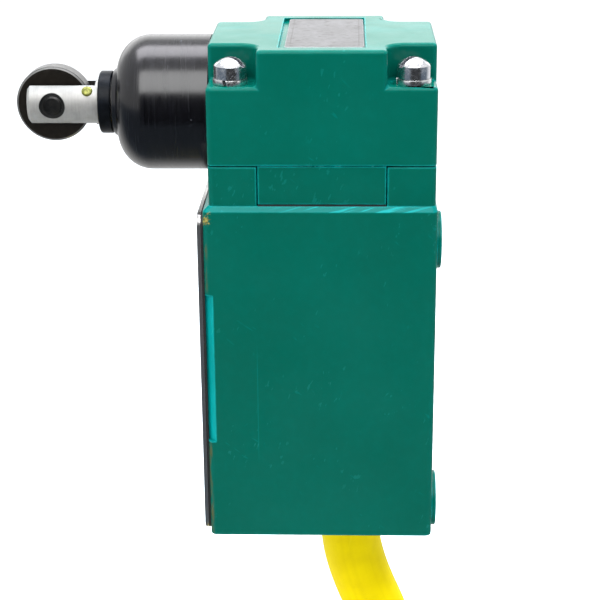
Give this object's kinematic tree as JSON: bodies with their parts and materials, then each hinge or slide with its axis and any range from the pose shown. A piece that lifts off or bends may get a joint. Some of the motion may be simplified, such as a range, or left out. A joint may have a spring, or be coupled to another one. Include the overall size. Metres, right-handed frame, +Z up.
{
  "type": "limit switch",
  "caption": "Heavy-duty limit switch: teal die-cast housing and bolted head, side roller plunger, mounting bosses and a yellow cable out of the underside.",
  "frame": {"origin": "centre of the rectangle of four mounting holes, in the plane of the mounting bosses' faces", "axes": "+Z up, towards the head; +X out of the mounting face, towards the machine; the plunger points to -X; the front of the switch faces -Y"},
  "size_m": [0.0895, 0.1642, 0.3356],
  "materials": {
    "teal_paint": "semi-gloss teal green paint on die-cast metal, chipped at the edges",
    "gasket_rubber": "matt black rubber",
    "cover_metal": "dull grey metal sheet",
    "zinc_steel": "bright zinc-plated steel",
    "nameplate_aluminium": "matt bare aluminium",
    "black_bushing": "glossy black finish with fine turning rings",
    "plunger_steel": "satin ground steel",
    "black_collar": "smooth black plastic",
    "brass": "plain brass",
    "roller_steel": "dark oxidised steel with a worn rim",
    "black_pin": "black oxide",
    "spring_steel": "spring wire",
    "phenolic": "moulded black phenolic",
    "clear_cover": "pale plastic",
    "button_plastic": "orange plastic",
    "carrier_plastic": "white plastic",
    "contact_brass": "copper alloy strip",
    "wire_insulation": "coloured wire insulation",
    "resin": "cast resin",
    "gland_metal": "nickel-plated brass",
    "cable_jacket": "yellow cable jacket",
    "tie_plastic": "black nylon"
  },
  "bodies": {
    "case": {"housing": "teal_paint", "head_body": "teal_paint", "cover_gasket": "gasket_rubber", "cover_plate": "cover_metal", "cover_screws": "zinc_steel", "head_gasket": "gasket_rubber", "head_screws": "zinc_steel", "lock_washers": "zinc_steel", "nameplate": "nameplate_aluminium", "plunger_bushing": "black_bushing", "bushing_seal": "gasket_rubber", "spring_cup": "plunger_steel", "pin_guide": "brass", "pin_seal": "gasket_rubber", "switch_base": "phenolic", "switch_cover": "clear_cover", "switch_screws": "zinc_steel", "fixed_contacts": "contact_brass", "terminal_screws": "zinc_steel", "lead_wires": "wire_insulation", "potting": "resin", "cable_gland": "gland_metal", "cable_grommet": "gasket_rubber", "cable_run": "cable_jacket", "cable_coil": "cable_jacket", "cable_ties": "tie_plastic", "lead_ends": "wire_insulation"},
    "plunger_unit": {"plunger": "plunger_steel", "stop_ring": "plunger_steel", "wiper_collar": "black_collar", "index_pin": "brass", "roller_pin": "black_pin", "return_spring": "spring_steel"},
    "roller_unit": {"roller": "roller_steel", "roller_sleeve": "brass"},
    "push_pin_unit": {"push_pin": "plunger_steel"},
    "carrier_unit": {"switch_button": "button_plastic", "contact_carrier": "carrier_plastic", "bridge_contact": "contact_brass", "contact_spring": "spring_steel"}
  },
  "joints": [
    {"name": "plunger_slide", "type": "slide", "parent": "case", "child": "plunger_unit", "axis": [1, 0, 0], "range_m": [0, 0.0055], "stiffness_N_per_m": 1500, "springref_m": -0.004, "deforming": ["return_spring"]},
    {"name": "roller_spin", "type": "hinge", "parent": "plunger_unit", "child": "roller_unit", "pos_m": [-0.0816, 0, 0.05565], "axis": [0, 1, 0], "continuous": true},
    {"name": "push_pin_slide", "type": "slide", "parent": "case", "child": "push_pin_unit", "axis": [0, 0, -1], "range_m": [0, 0.00198]},
    {"name": "carrier_slide", "type": "slide", "parent": "case", "child": "carrier_unit", "axis": [0, 0, -1], "range_m": [0, 0.00198], "deforming": ["contact_spring"]}
  ],
  "couplings": [
    {"joint": "push_pin_slide", "follows": "plunger_slide", "ratio": 0.36},
    {"joint": "carrier_slide", "follows": "plunger_slide", "ratio": 0.36}
  ]
}
